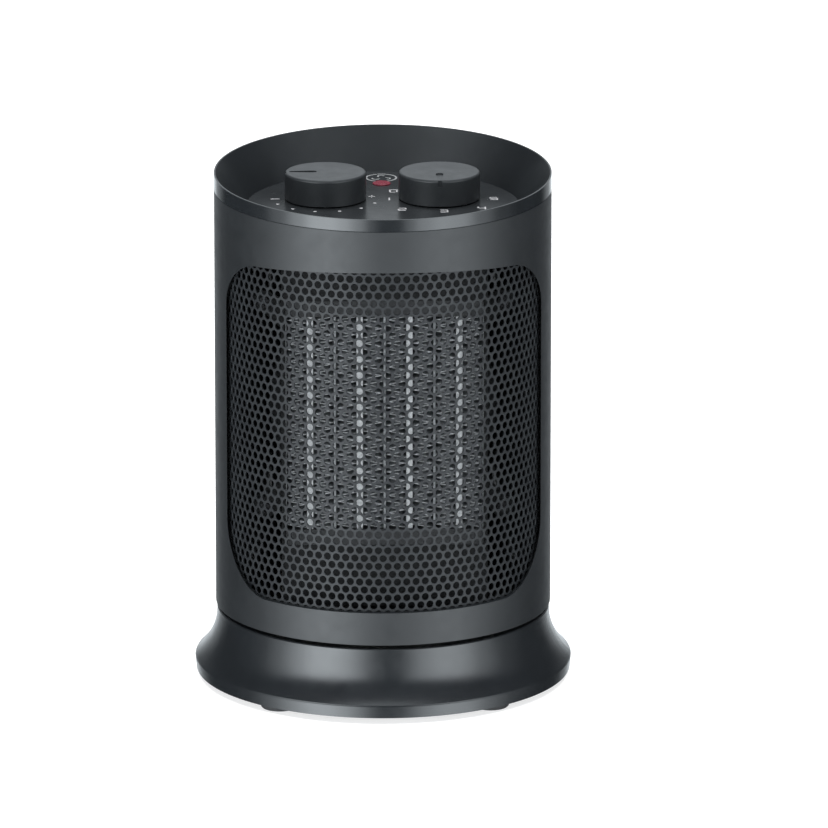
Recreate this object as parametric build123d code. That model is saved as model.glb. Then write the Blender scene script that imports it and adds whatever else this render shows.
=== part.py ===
from build123d import *
from math import acos, cos, pi, radians, sin, sqrt, tan
import os

# Ceramic heater: a round tower that swings on a flared base.
# Millimetres. +Z is up and -Y is the front. The origin is on the floor, on the swing axis.

# Outside of the tower
BODY_RADIUS = 82.3
SHELL_WALL = 2.2
INNER_RADIUS = BODY_RADIUS - SHELL_WALL
TOWER_BOTTOM = 36.9
SPLIT_Y = 4.0
SPLIT_GAP = 0.1
EDGE_ROUND = 0.4

# Tilted seam between the shells and the top, tilted rim, dish and control panel
SEAM_HEIGHT = 245.4
SEAM_TILT = 1.0
BEZEL_SEAM = 0.1
RIM_HEIGHT = 253.3
RIM_TILT = 2.35
RIM_LIP = 0.8
DISH_WALL = 2.2
DISH_RADIUS = 67.8
PANEL_RADIUS = 66.9
PANEL_TOP = 236.5
PANEL_THICKNESS = 2.5
PANEL_BOTTOM = PANEL_TOP - PANEL_THICKNESS

# Flared base
FOOT_HEIGHT = 3.4
SKIRT_BOTTOM = 3.2
SKIRT_BOTTOM_RADIUS = 92.0
SKIRT_EDGE_RADIUS = 92.6
SKIRT_EDGE_HEIGHT = 8.9
SKIRT_WALL = 2.4
FLARE_LOW = 9.6
FLARE_TOP = 33.0
FLARE_RADIUS = 31.2
NECK_RADIUS = 81.7
FLARE_CENTRE_RADIUS = NECK_RADIUS + FLARE_RADIUS
DECK_TOP = 35.0
DECK_THICKNESS = 2.6
PLATE_TOP = 5.6

# Swing bearing and its drive
HUB_RADIUS = 14.2
HUB_BORE = 9.0
HUB_TOP = 45.5
RUNNING_GAP = 0.05
BUSH_OUTER = 16.0
SLIDE_RING_TOP = 37.4
TURNTABLE_BOTTOM = 37.5
TURNTABLE_TOP = 40.0
TURNTABLE_RADIUS = 79.6
COLLAR_TOP = 45.2
PEG_ORBIT = 45.0
PEG_RADIUS = 3.0
SLOT_HALF_ANGLE = 36.0
GEAR_MODULE = 1.0
GEAR_TEETH = 40
PINION_TEETH = 16
GEAR_WIDTH = 6.0
PRESSURE_ANGLE = 20.0
TOOTH_THINNING = 0.16
SHAFT_SPACING = GEAR_MODULE * (GEAR_TEETH + PINION_TEETH) / 2
SWING_MOTOR_BOTTOM = 54.5
SWING_MOTOR_HOLES = 29.0

# Grille opening in the front shell
OPENING_HALF = 76.5
OPENING_BOTTOM = 53.3
OPENING_TOP = 223.6
OPENING_SHOULDER = 219.9
TOP_CORNER = (15.3, 25.0)
BOTTOM_CORNER = (18.7, 34.0)
GRILLE_RADIUS = 79.9
GRILLE_SHEET = 0.8
GRILLE_LOW = 49.9
GRILLE_HIGH = 225.9
GRILLE_REAR_Y = -12.0
FRAME_SHEET = 1.2

# Air inlet in the rear shell
INLET_HALF = 50.0
INLET_LOW = 72.0
INLET_HIGH = 198.0
SLOT_PITCH = 6.0
SLOT_OPENING = 3.0

# Ceramic heating core
FAN_HEIGHT = 142.0
CORE_HEIGHT = 106.8
CORE_LOW = FAN_HEIGHT - CORE_HEIGHT / 2
CORE_HIGH = FAN_HEIGHT + CORE_HEIGHT / 2
CORE_FRONT = -56.0
CORE_BACK = -41.0
CORE_HALF = 48.0
BAR_PITCH = 24.1
BAR_WIDTH = 3.0
PLATE_WIDTH = 1.0
SIDE_PLATE_WIDTH = 0.5
FIN_SHEET = 0.3
FIN_FOLDS = 72
CAP_DEPTH = 8.0

# Fan and its motor
FAN_RADIUS = 50.0
FAN_FRONT = -14.0
FAN_BACK = -1.0
SHROUD_INNER = 52.0
SHROUD_OUTER = 54.5
SHROUD_FRONT = -20.0
DUCT_BACK_Y = -20.0
DUCT_SQUARE_Y = -38.0
DUCT_FRONT_Y = -58.0
DUCT_WALL = 1.5
BAFFLE_HALF = 50.0
BAFFLE_LOW = 50.0
BAFFLE_HIGH = 225.5
EAR_X = 58.0
EAR_Z = 52.0
STATOR_FRONT = 9.0
STATOR_BACK = 27.0
ROTOR_RADIUS = 15.8
MOTOR_SHAFT = 2.0
MOTOR_SCREW_X = 20.2

# Knobs and the controls under them
KNOB_X = 27.8
KNOB_Y = 12.5
KNOB_RADIUS = 19.9
KNOB_BOTTOM = 237.3
KNOB_TOP = 250.3
POINTER_INNER_RADIUS = 1.9
POINTER_OUTER_RADIUS = 1.0
POINTER_DEPTH = 0.7
POINTER_START = 6.1
POINTER_END = 16.8
THERMOSTAT_POINTER = 180
MODE_POINTER = -90
CONTROL_SHAFT = 3.0
LENS_Y = 42.0
LENS_RADIUS = 4.5

# Fasteners and places shared by several pieces
BASE_SCREW_ORBIT = 72.0
BASE_SCREW_ANGLES = (25, 155, 205, 335)
TOWER_SCREW_ORBIT = 72.0
FRONT_ANGLES = (225, 315)
REAR_ANGLES = (45, 135)
BEZEL_SCREW_ORBIT = 74.5
TAB_LOW = 226.2
TAB_HIGH = 228.4
SHELL_SCREW_X = 64.0
SHELL_SCREW_Z = (62.0, 214.0)
TIP_Y = -62.0
GLAND_Z = 16.5
GLAND_SEAT_Y = 91.0
GLAND_FLANGE_RADIUS = 6.5

BOTTOM_UP = (Align.CENTER, Align.CENTER, Align.MIN)


# Building blocks

def post(radius, low, high, x=0.0, y=0.0):
    """Upright round post between two heights."""
    return Pos(x, y, low) * Cylinder(radius, high - low, align=BOTTOM_UP)


def tube(outer, inner, low, high, x=0.0, y=0.0):
    """Upright tube between two heights."""
    return post(outer, low, high, x, y) - post(inner, low, high, x, y)


def rod(radius, front, back, x=0.0, z=0.0):
    """Round rod lying front to back."""
    return Pos(x, front, z) * Rot(-90, 0, 0) * Cylinder(radius, back - front, align=BOTTOM_UP)


def block(low, high):
    """Box between two opposite corners."""
    sizes = [top - bottom for bottom, top in zip(low, high)]
    return Pos(*low) * Box(*sizes, align=(Align.MIN, Align.MIN, Align.MIN))


def turned(angle, piece):
    """A piece turned about the tower's axis."""
    return Rot(0, 0, angle) * piece


def lathe(corners):
    """Solid turned about the tower's axis from (radius, height) corners."""
    outline = Polyline([(radius, 0, height) for radius, height in corners], close=True)
    return revolve(make_face(outline), Axis.Z)


def group(pieces):
    """Several separate solids kept in one node."""
    return Compound([solid for piece in pieces for solid in piece.solids()])


def around(orbit, angles):
    """Points on a circle about the tower's axis."""
    return [(orbit * cos(radians(a)), orbit * sin(radians(a))) for a in angles]


def pan_screw(length, shank=1.45):
    """Cross-head screw pointing down, with its head standing on z = 0."""
    head = 2 * shank
    head_height = 1.3 * shank
    recess_width = 0.5 * shank
    recess = Box(1.3 * head, recess_width, shank) + Box(recess_width, 1.3 * head, shank)
    body = fillet(post(head, 0, head_height).edges().group_by(Axis.Z)[-1], 0.35 * shank)
    return body - Pos(0, 0, head_height) * recess + post(shank, -length, 0)


def flat_screw(length, shank=1.45):
    """Countersunk cross-head screw pointing down, with its head flush at z = 0."""
    head = 2 * shank
    recess_width = 0.5 * shank
    recess = Box(1.2 * head, recess_width, shank) + Box(recess_width, 1.2 * head, shank)
    cone = lathe([(0, 0), (head, 0), (shank, -shank), (0, -shank)])
    return cone + post(shank, -length, -shank) - recess


def countersink(shank=1.45):
    """Clearance for a flat_screw's head and shank through a thin wall."""
    head = 2 * shank + 0.1
    shank_hole = shank + 0.1
    return lathe([(0, 0), (head, 0), (shank_hole, -shank), (shank_hole, -8), (0, -8)])


DOWN = Rot(0, 0, 0)
UP = Rot(180, 0, 0)
REARWARD = Rot(90, 0, 0)
FORWARD = Rot(-90, 0, 0)


# Base

def flared_drum(inset, bottom, top):
    """Solid inside the base's outside surface, drawn in by inset."""
    arc_radius = FLARE_RADIUS + inset

    def arc_point(height):
        reach = sqrt(arc_radius**2 - (FLARE_TOP - height) ** 2)
        return (FLARE_CENTRE_RADIUS - reach, 0, height)

    foot = (SKIRT_BOTTOM_RADIUS - inset, 0, bottom)
    edge = (SKIRT_EDGE_RADIUS - inset, 0, SKIRT_EDGE_HEIGHT)
    arc_low = arc_point(FLARE_LOW)
    arc_high = arc_point(FLARE_TOP)
    outline = [
        Polyline((0, 0, top), (0, 0, bottom), foot, edge, arc_low),
        ThreePointArc(arc_low, arc_point((FLARE_LOW + FLARE_TOP) / 2), arc_high),
        Polyline(arc_high, (arc_high[0], 0, top - 0.5), (arc_high[0] - 0.5, 0, top), (0, 0, top)),
    ]
    return revolve(make_face(outline), Axis.Z)


def stop_slot():
    """Curved slot in the deck that the turntable's stop peg runs in."""
    half_width = PEG_RADIUS + 0.3
    low = DECK_TOP - DECK_THICKNESS - 1
    high = DECK_TOP + 1
    reach = 2 * PEG_ORBIT
    side = reach * sin(radians(SLOT_HALF_ANGLE))
    depth = -reach * cos(radians(SLOT_HALF_ANGLE))
    wedge_face = make_face(Polyline((0, 0), (side, depth), (0, 2 * depth), (-side, depth), close=True))
    wedge = Pos(0, 0, low) * extrude(wedge_face, high - low)
    slot = tube(PEG_ORBIT + half_width, PEG_ORBIT - half_width, low, high) & wedge
    for x, y in around(PEG_ORBIT, (-90 - SLOT_HALF_ANGLE, -90 + SLOT_HALF_ANGLE)):
        slot += post(half_width, low, high, x, y)
    return slot


def base_skirt():
    """Flared skirt with its deck, hub tube, screw posts and gland seat."""
    deck_bottom = DECK_TOP - DECK_THICKNESS
    skirt = flared_drum(0, SKIRT_BOTTOM, DECK_TOP) - flared_drum(SKIRT_WALL, SKIRT_BOTTOM, deck_bottom)
    skirt += rod(9.0, 78.0, GLAND_SEAT_Y, z=GLAND_Z)
    skirt += post(HUB_RADIUS, deck_bottom, HUB_TOP)
    for x, y in around(BASE_SCREW_ORBIT, BASE_SCREW_ANGLES):
        skirt += post(4.0, PLATE_TOP, DECK_TOP - 1, x, y)
        skirt -= post(1.5, PLATE_TOP, 19.0, x, y)
    skirt -= post(HUB_BORE, deck_bottom, HUB_TOP)
    for x, y in around(11.6, (-90, 30, 150)):
        skirt -= post(1.15, HUB_TOP - 10, HUB_TOP, x, y)
    skirt -= stop_slot()
    skirt -= rod(GLAND_FLANGE_RADIUS + 0.1, GLAND_SEAT_Y, 95.0, z=GLAND_Z)
    return skirt - rod(4.85, 70.0, 95.0, z=GLAND_Z)


def base_plate():
    """Underside cover with the tip-over switch's guide and posts and the cord clamp's posts."""
    plate = post(89.3, FOOT_HEIGHT, PLATE_TOP)
    plate += post(7.0, PLATE_TOP, 10.0, 0, TIP_Y)
    for x in (-13, 13):
        plate += post(3.0, PLATE_TOP, 23.4, x, TIP_Y)
        plate -= post(1.15, 12.0, 23.4, x, TIP_Y)
    for x in (-10, 10):
        plate += post(3.5, PLATE_TOP, 18.6, x, 66.0)
        plate -= post(1.15, 8.0, 18.6, x, 66.0)
    for x, y in around(BASE_SCREW_ORBIT, BASE_SCREW_ANGLES):
        plate -= post(1.55, FOOT_HEIGHT, PLATE_TOP, x, y)
    return plate - post(4.0 + RUNNING_GAP, FOOT_HEIGHT, 10.0, 0, TIP_Y)


def base_plate_screws():
    return group(
        Pos(x, y, FOOT_HEIGHT) * UP * pan_screw(12.0)
        for x, y in around(BASE_SCREW_ORBIT, BASE_SCREW_ANGLES)
    )


def rubber_feet():
    """Four round pads, each with a shallow suction recess."""
    foot = post(9.0, 0, FOOT_HEIGHT)
    foot = chamfer(foot.edges().group_by(Axis.Z)[0], 0.6)
    foot -= post(5.0, 0, 0.8)
    return group(Pos(x, y, 0) * foot for x, y in around(80.0, (50, 130, 230, 310)))


def cord_gland():
    """Flanged bush that the supply cord passes through."""
    bush = rod(4.8, 72.0, GLAND_SEAT_Y, z=GLAND_Z)
    bush += rod(GLAND_FLANGE_RADIUS, GLAND_SEAT_Y, 92.3, z=GLAND_Z)
    return bush - rod(3.6, 72.0, 92.3, z=GLAND_Z)


def cord_clamp():
    """Bridge that presses the cord down between its two posts."""
    bridge = block((-14, 62, 18.6), (14, 70, 22.0)) + block((-4, 62, 16.6), (4, 70, 18.6))
    for x in (-10, 10):
        bridge -= post(1.6, 18.6, 22.0, x, 66.0)
    return bridge


def cord_clamp_screws():
    return group(Pos(x, 66, 22.0) * DOWN * pan_screw(12.0, 1.1) for x in (-10, 10))


def slide_ring():
    """Low-friction ring that carries the turntable."""
    return tube(66.0, 60.0, DECK_TOP, SLIDE_RING_TOP)


def gear_outline(teeth, tooth_angle, addendum=1.0):
    """Closed outline of an involute gear with one tooth centred on tooth_angle."""
    pitch_radius = GEAR_MODULE * teeth / 2
    base_radius = pitch_radius * cos(radians(PRESSURE_ANGLE))
    tip_radius = pitch_radius + addendum * GEAR_MODULE
    root_radius = pitch_radius - 1.25 * GEAR_MODULE
    pitch_roll = tan(radians(PRESSURE_ANGLE)) - radians(PRESSURE_ANGLE)
    half_tooth = pi / (2 * teeth) - TOOTH_THINNING / (2 * pitch_radius)

    def half_angle(radius):
        contact = acos(min(1.0, base_radius / radius))
        return half_tooth + pitch_roll - (tan(contact) - contact)

    start_radius = max(base_radius, root_radius)
    radii = [start_radius + (tip_radius - start_radius) * step / 4 for step in range(5)]
    rising = [(root_radius, -half_angle(start_radius))] + [(r, -half_angle(r)) for r in radii]
    flanks = rising + [(r, -angle) for r, angle in reversed(rising)]
    points = []
    for tooth in range(teeth):
        centre = radians(tooth_angle) + 2 * pi * tooth / teeth
        points += [(r * cos(centre + angle), r * sin(centre + angle)) for r, angle in flanks]
    return make_face(Polyline(points, close=True))


def fixed_gear():
    """Gear screwed on the hub. It also holds the turntable down."""
    wheel = Pos(0, 0, HUB_TOP) * extrude(gear_outline(GEAR_TEETH, 90, addendum=0.9), GEAR_WIDTH)
    wheel -= post(HUB_BORE, HUB_TOP, HUB_TOP + GEAR_WIDTH)
    for x, y in around(11.6, (-90, 30, 150)):
        wheel -= post(1.2, HUB_TOP, HUB_TOP + GEAR_WIDTH, x, y)
    return wheel


def fixed_gear_screws():
    return group(
        Pos(x, y, HUB_TOP + GEAR_WIDTH) * DOWN * pan_screw(14.0, 1.1)
        for x, y in around(11.6, (-90, 30, 150))
    )


# Tip-over switch, in the base

def tip_plunger():
    """Plunger that the floor holds up while the heater stands."""
    plunger = post(4.0, 0, 14.2, 0, TIP_Y) + post(6.0, 14.2, 16.0, 0, TIP_Y)
    return plunger + post(2.0, 16.0, 25.3, 0, TIP_Y)


def tip_spring():
    """Compression spring between the plunger's flange and the holder."""
    wire = 0.4
    low = 16.0 + wire + 0.02
    high = 23.4 - wire - 0.02
    coil = Helix(pitch=(high - low) / 5, height=high - low, radius=3.6)
    section = Plane(coil @ 0, z_dir=coil % 0) * Circle(wire)
    return Pos(0, TIP_Y, low) * sweep(section, path=coil)


def tip_switch_holder():
    """Bracket that carries the switch over the plunger."""
    plate = block((-17, TIP_Y - 7, 23.4), (17, TIP_Y + 7, 25.0))
    plate -= post(2.6, 23.4, 25.0, 0, TIP_Y)
    for x in (-13, 13):
        plate -= post(1.2, 23.4, 25.0, x, TIP_Y)
    for x in (-9, 7.6):
        plate += block((x, TIP_Y - 3, 25.0), (x + 1.4, TIP_Y + 3, 26.6))
    return plate


def tip_switch():
    """Snap-action switch with its button over the plunger and three tags."""
    body = block((-9, TIP_Y - 3, 26.6), (9, TIP_Y + 3, 31.8))
    body += block((-1.2, TIP_Y - 1.2, 25.5), (1.2, TIP_Y + 1.2, 26.6))
    for x in (-7, 0, 7):
        body += block((x - 1.4, TIP_Y + 3, 28.6), (x + 1.4, TIP_Y + 9, 29.2))
    return body


def tip_switch_screws():
    return group(Pos(x, TIP_Y, 25.0) * DOWN * pan_screw(9.0, 1.1) for x in (-13, 13))


# Turntable and swing drive, in the tower

def turntable():
    """Floor of the tower: disc, bearing collar, stop peg and swing motor posts."""
    disc = post(TURNTABLE_RADIUS, TURNTABLE_BOTTOM, TURNTABLE_TOP)
    disc += post(20.0, TURNTABLE_TOP, COLLAR_TOP)
    disc += post(PEG_RADIUS, 33.2, TURNTABLE_BOTTOM, 0, -PEG_ORBIT)
    for x in (-SWING_MOTOR_HOLES, SWING_MOTOR_HOLES):
        disc += post(4.0, TURNTABLE_TOP, SWING_MOTOR_BOTTOM, x, SHAFT_SPACING)
        disc -= post(1.5, SWING_MOTOR_BOTTOM - 11, SWING_MOTOR_BOTTOM, x, SHAFT_SPACING)
    for x, y in around(TOWER_SCREW_ORBIT, FRONT_ANGLES + REAR_ANGLES):
        disc -= Pos(x, y, TURNTABLE_BOTTOM) * UP * countersink()
    return disc - post(BUSH_OUTER, TURNTABLE_BOTTOM, COLLAR_TOP)


def turntable_screws():
    return group(
        Pos(x, y, TURNTABLE_BOTTOM) * UP * flat_screw(10.0)
        for x, y in around(TOWER_SCREW_ORBIT, FRONT_ANGLES + REAR_ANGLES)
    )


def pivot_bush():
    """Flanged plain bearing that turns on the hub."""
    sleeve = post(BUSH_OUTER, TURNTABLE_BOTTOM, COLLAR_TOP) + post(19.0, 36.2, TURNTABLE_BOTTOM)
    return sleeve - post(HUB_RADIUS + RUNNING_GAP, 36.2, COLLAR_TOP)


def swing_motor():
    """Flat geared motor hung over the pinion by two ears."""
    top = SWING_MOTOR_BOTTOM + 18.0
    ears = block((-33, -5, SWING_MOTOR_BOTTOM), (33, 5, SWING_MOTOR_BOTTOM + 1))
    ears = Pos(0, SHAFT_SPACING, 0) * ears
    can = post(25.0, SWING_MOTOR_BOTTOM + 1, top, 0, SHAFT_SPACING)
    can = fillet(can.edges().group_by(Axis.Z)[-1], 1.5)
    motor = ears + can + post(6.0, SWING_MOTOR_BOTTOM - 2, SWING_MOTOR_BOTTOM + 1, 0, SHAFT_SPACING)
    for x in (-SWING_MOTOR_HOLES, SWING_MOTOR_HOLES):
        motor -= post(1.8, SWING_MOTOR_BOTTOM, SWING_MOTOR_BOTTOM + 1, x, SHAFT_SPACING)
    return motor - post(3.5 + RUNNING_GAP, SWING_MOTOR_BOTTOM - 2, 62.0, 0, SHAFT_SPACING)


def swing_motor_screws():
    return group(
        Pos(x, SHAFT_SPACING, SWING_MOTOR_BOTTOM + 1) * DOWN * pan_screw(10.0)
        for x in (-SWING_MOTOR_HOLES, SWING_MOTOR_HOLES)
    )


def d_shaft(radius, low, high, flat_low, flat_high):
    """Upright shaft with one flat between two heights."""
    flat = block((-radius, 0.6 * radius, flat_low), (radius, radius, flat_high))
    return post(radius, low, high) - flat


def swing_motor_shaft():
    return Pos(0, SHAFT_SPACING, 0) * d_shaft(3.5, HUB_TOP + 0.3, 61.5, HUB_TOP + 0.3, 51.5)


def drive_pinion():
    """Pinion on the swing motor's shaft, with a tooth gap facing the fixed gear."""
    low = HUB_TOP + 0.2
    high = HUB_TOP + GEAR_WIDTH - 0.1
    gap_angle = -90 + 180 / PINION_TEETH
    wheel = Pos(0, 0, low) * extrude(gear_outline(PINION_TEETH, gap_angle), high - low)
    return Pos(0, SHAFT_SPACING, 0) * (wheel - d_shaft(3.5, low, high, low, high))


# Shells

def rim_plane(offset=0.0):
    """Tilted plane of the rim's crest, low at the front."""
    return Plane((0, 0, RIM_HEIGHT + offset)).rotated((RIM_TILT, 0, 0))


def seam_plane(offset=0.0):
    """Tilted plane where the shells end and the top begins, low at the front."""
    return Plane((0, 0, SEAM_HEIGHT + offset)).rotated((SEAM_TILT, 0, 0))


def below(plane):
    """All the space of the tower under a tilted plane."""
    return plane * Box(400, 400, 300, align=(Align.CENTER, Align.CENTER, Align.MAX))


def shell_ring():
    """Whole outer wall of the tower, before it is split into front and rear."""
    wall = post(BODY_RADIUS, TOWER_BOTTOM, RIM_HEIGHT) & below(seam_plane())
    wall = fillet(wall.edges().filter_by(GeomType.LINE, reverse=True), EDGE_ROUND)
    return wall - post(INNER_RADIUS, TOWER_BOTTOM, RIM_HEIGHT)


def shell_fixings(angles):
    """Bosses for the turntable's screws and tabs for the bezel's screws."""
    inside = post(INNER_RADIUS + 0.5, TOWER_BOTTOM, TAB_HIGH)
    rib = block((TOWER_SCREW_ORBIT, -2, TURNTABLE_TOP), (INNER_RADIUS + 1, 2, 49.5))
    boss = post(4.0, TURNTABLE_TOP, 49.5, TOWER_SCREW_ORBIT) + rib
    boss -= post(1.5, TURNTABLE_TOP, 49.5, TOWER_SCREW_ORBIT)
    tab = block((70.5, -5, TAB_LOW), (INNER_RADIUS + 1, 5, TAB_HIGH))
    tab -= post(1.6, TAB_LOW, TAB_HIGH, BEZEL_SCREW_ORBIT)
    return sum((turned(angle, boss + tab) & inside for angle in angles), Part())


def opening_outline():
    """Front view of the grille opening, with a crowned top edge and uneven corners."""
    half = OPENING_HALF
    shoulder = OPENING_SHOULDER
    low = OPENING_BOTTOM
    top_x, top_z = TOP_CORNER
    low_x, low_z = BOTTOM_CORNER
    crown = ThreePointArc((top_x - half, shoulder), (0, OPENING_TOP), (half - top_x, shoulder))
    corners = [
        EllipticalCenterArc((half - top_x, shoulder - top_z), top_x, top_z, 0),
        EllipticalCenterArc((top_x - half, shoulder - top_z), top_x, top_z, 90),
        EllipticalCenterArc((low_x - half, low + low_z), low_x, low_z, 180),
        EllipticalCenterArc((half - low_x, low + low_z), low_x, low_z, 270),
    ]
    sides = [
        Line((-half, shoulder - top_z), (-half, low + low_z)),
        Line((low_x - half, low), (half - low_x, low)),
        Line((half, low + low_z), (half, shoulder - top_z)),
    ]
    return make_face([crown] + corners + sides)


def opening_cutter():
    """The grille opening drawn straight out to the front."""
    return extrude(Plane.XZ * opening_outline(), 100)


def front_shell():
    """Front half of the tower with the grille opening."""
    shell = shell_ring() & block((-100, -100, 0), (100, SPLIT_Y, 300))
    shell -= opening_cutter()
    shell += shell_fixings(FRONT_ANGLES)
    for side in (-1, 1):
        for z in SHELL_SCREW_Z:
            x = side * SHELL_SCREW_X
            wall = side * (INNER_RADIUS + 0.5)
            boss = rod(3.6, -10.0, 0.0, x, z)
            boss += block((min(x, wall), -8, z - 1.5), (max(x, wall), -4, z + 1.5))
            shell += boss - rod(1.5, -10.0, 0.0, x, z)
    return shell


def rear_shell():
    """Rear half of the tower with the air inlet, overlap lips and screw posts."""
    half = shell_ring() & block((-100, SPLIT_Y + SPLIT_GAP, 0), (100, 100, 300))
    inlet = block((-INLET_HALF, 0, INLET_LOW), (INLET_HALF, 100, INLET_HIGH))
    shell = half - fillet(inlet.edges().filter_by(Axis.Y), 10.0)
    shell += shell_fixings(REAR_ANGLES)
    lip = tube(INNER_RADIUS - 0.15, 78.0, 41.0, 225.0) & block((-100, -2, 0), (100, 9, 300))
    root = tube(INNER_RADIUS + 0.3, 78.0, 41.0, 225.0) & block((-100, SPLIT_Y + 0.3, 0), (100, 9, 300))
    shell += lip + root
    inside = post(INNER_RADIUS + 0.5, TOWER_BOTTOM, TAB_HIGH)
    outside = post(BODY_RADIUS, TOWER_BOTTOM, TAB_HIGH)
    for x in (-SHELL_SCREW_X, SHELL_SCREW_X):
        for z in SHELL_SCREW_Z:
            shell += rod(5.0, 0.05, 60.0, x, z) & outside
            shell -= rod(3.4, 8.0, 60.0, x, z) + rod(1.6, 0.0, 8.0, x, z)
    for x in (-EAR_X, EAR_X):
        for z in (FAN_HEIGHT - EAR_Z, FAN_HEIGHT + EAR_Z):
            shell += rod(3.5, -15.0, 70.0, x, z) & inside
            shell -= rod(1.5, -15.0, 0.0, x, z)
    return shell


def shell_screws():
    return group(
        Pos(x, 8.0, z) * FORWARD * pan_screw(17.0)
        for x in (-SHELL_SCREW_X, SHELL_SCREW_X)
        for z in SHELL_SCREW_Z
    )


def rear_grille():
    """Slatted inlet panel with a flange behind the rear shell."""
    half = INLET_HALF - 0.2
    window = block((-half, 0, INLET_LOW + 0.2), (half, 100, INLET_HIGH - 0.2))
    window = fillet(window.edges().filter_by(Axis.Y), 9.8)
    flange = block((-half - 3, 0, INLET_LOW - 3), (half + 3, 100, INLET_HIGH + 3))
    panel = tube(BODY_RADIUS, 78.3, INLET_LOW - 3, INLET_HIGH + 3) & window
    panel += tube(INNER_RADIUS, 78.3, INLET_LOW - 3, INLET_HIGH + 3) & flange
    rows = int((INLET_HIGH - INLET_LOW - 12) / SLOT_PITCH) + 1
    first = (INLET_LOW + INLET_HIGH - (rows - 1) * SLOT_PITCH) / 2
    for row in range(rows):
        z = first + row * SLOT_PITCH
        for left, right in ((-45, -17), (-14, 14), (17, 45)):
            panel -= block((left, 40, z - SLOT_OPENING / 2), (right, 100, z + SLOT_OPENING / 2))
    return panel


# Front grille

def front_grille():
    """Curved metal sheet behind the opening. Its perforation is shown in the visual model."""
    sheet = tube(GRILLE_RADIUS, GRILLE_RADIUS - GRILLE_SHEET, GRILLE_LOW, GRILLE_HIGH)
    return sheet & block((-100, -100, 0), (100, GRILLE_REAR_Y, 300))


def grille_frame():
    """Frame that presses the grille sheet against the shell, around the opening."""
    outer = GRILLE_RADIUS - GRILLE_SHEET
    ring = tube(outer, outer - FRAME_SHEET, GRILLE_LOW, GRILLE_HIGH)
    ring &= block((-100, -100, 0), (100, GRILLE_REAR_Y, 300))
    return ring - opening_cutter()


# Top

def dish_cone(grow, floor):
    """Tapered solid from the panel up to the tilted rim, grown outward by grow."""
    low = Pos(0, 0, floor) * Circle(DISH_RADIUS + grow)
    high = rim_plane(0.02) * Circle(BODY_RADIUS - RIM_LIP + grow)
    return loft([low, high])


def top_bezel():
    """Raised, tilted rim with the dish that surrounds the control panel."""
    under_rim = below(rim_plane())
    band = tube(BODY_RADIUS, INNER_RADIUS, 240.0, RIM_HEIGHT + 10) & under_rim
    dish = (dish_cone(DISH_WALL, PANEL_BOTTOM - DISH_WALL) & post(BODY_RADIUS - 0.3, 200, 270)) & under_rim
    dish -= dish_cone(-3.0, PANEL_BOTTOM - 6) & post(DISH_RADIUS - 3, 200, PANEL_BOTTOM)
    skirt = tube(INNER_RADIUS + 0.3, 77.7, 240.0, SEAM_HEIGHT + 5.5) & under_rim
    ledge = band + skirt - below(seam_plane(BEZEL_SEAM))
    bezel = ledge + dish + tube(INNER_RADIUS - 0.2, 77.7, 239.0, SEAM_HEIGHT + 2)
    for angle in FRONT_ANGLES + REAR_ANGLES:
        boss = post(3.4, TAB_HIGH, 247.0, BEZEL_SCREW_ORBIT)
        bezel += turned(angle, boss)
    bezel -= dish_cone(0, PANEL_BOTTOM)
    for x, y in around(BEZEL_SCREW_ORBIT, FRONT_ANGLES + REAR_ANGLES):
        bezel -= post(1.5, TAB_HIGH, 239.5, x, y)
    return bezel


def bezel_screws():
    return group(
        Pos(x, y, TAB_LOW) * UP * pan_screw(12.5)
        for x, y in around(BEZEL_SCREW_ORBIT, FRONT_ANGLES + REAR_ANGLES)
    )


def control_panel():
    """Flat round panel with snap hooks below and holes for shafts, screws and lens."""
    panel = post(PANEL_RADIUS, PANEL_BOTTOM, PANEL_TOP)
    panel = fillet(panel.edges().group_by(Axis.Z)[-1], 0.3)
    for angle in (0, 90, 180, 270):
        hook = block((59.5, -4, 229.2), (62.0, 4, PANEL_BOTTOM))
        panel += turned(angle, hook)
    for x in (-KNOB_X, KNOB_X):
        panel -= post(CONTROL_SHAFT + 1.0, PANEL_BOTTOM, PANEL_TOP, x, KNOB_Y)
        for y in (KNOB_Y - 14, KNOB_Y + 14):
            panel -= Pos(x, y, PANEL_TOP) * countersink()
    return panel - post(LENS_RADIUS + 0.05, PANEL_BOTTOM, PANEL_TOP, 0, LENS_Y)


def control_screws():
    return group(
        Pos(x, y, PANEL_TOP) * DOWN * flat_screw(6.0)
        for x in (-KNOB_X, KNOB_X)
        for y in (KNOB_Y - 14, KNOB_Y + 14)
    )


# Controls

def control_body(half_x, half_y, bottom):
    """Rotary control under the panel: case, threaded neck and mounting flange."""
    case_top = 227.0
    body = block((-half_x, -half_y, bottom), (half_x, half_y, case_top))
    body = fillet(body.edges().filter_by(Axis.Z), 2.0)
    body += post(6.0, case_top, PANEL_BOTTOM)
    flange = block((-9, -18, PANEL_BOTTOM - 1.5), (9, 18, PANEL_BOTTOM))
    for y in (-14, 14):
        flange -= post(1.5, PANEL_BOTTOM - 1.5, PANEL_BOTTOM, 0, y)
    return body + flange - post(CONTROL_SHAFT + RUNNING_GAP, case_top - 12, PANEL_BOTTOM)


def thermostat():
    """Thermostat with two blade terminals."""
    body = control_body(13.0, 15.0, 209.0)
    for y in (-8, 8):
        body += block((-3.2, y - 0.4, 199.0), (3.2, y + 0.4, 209.0))
    return Pos(-KNOB_X, KNOB_Y, 0) * body


def mode_switch():
    """Rotary mode switch with five blade terminals."""
    body = control_body(14.0, 14.0, 211.0)
    for step in range(5):
        y = -10 + 5 * step
        body += block((-2.4, y - 0.4, 202.0), (2.4, y + 0.4, 211.0))
    return Pos(KNOB_X, KNOB_Y, 0) * body


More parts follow.
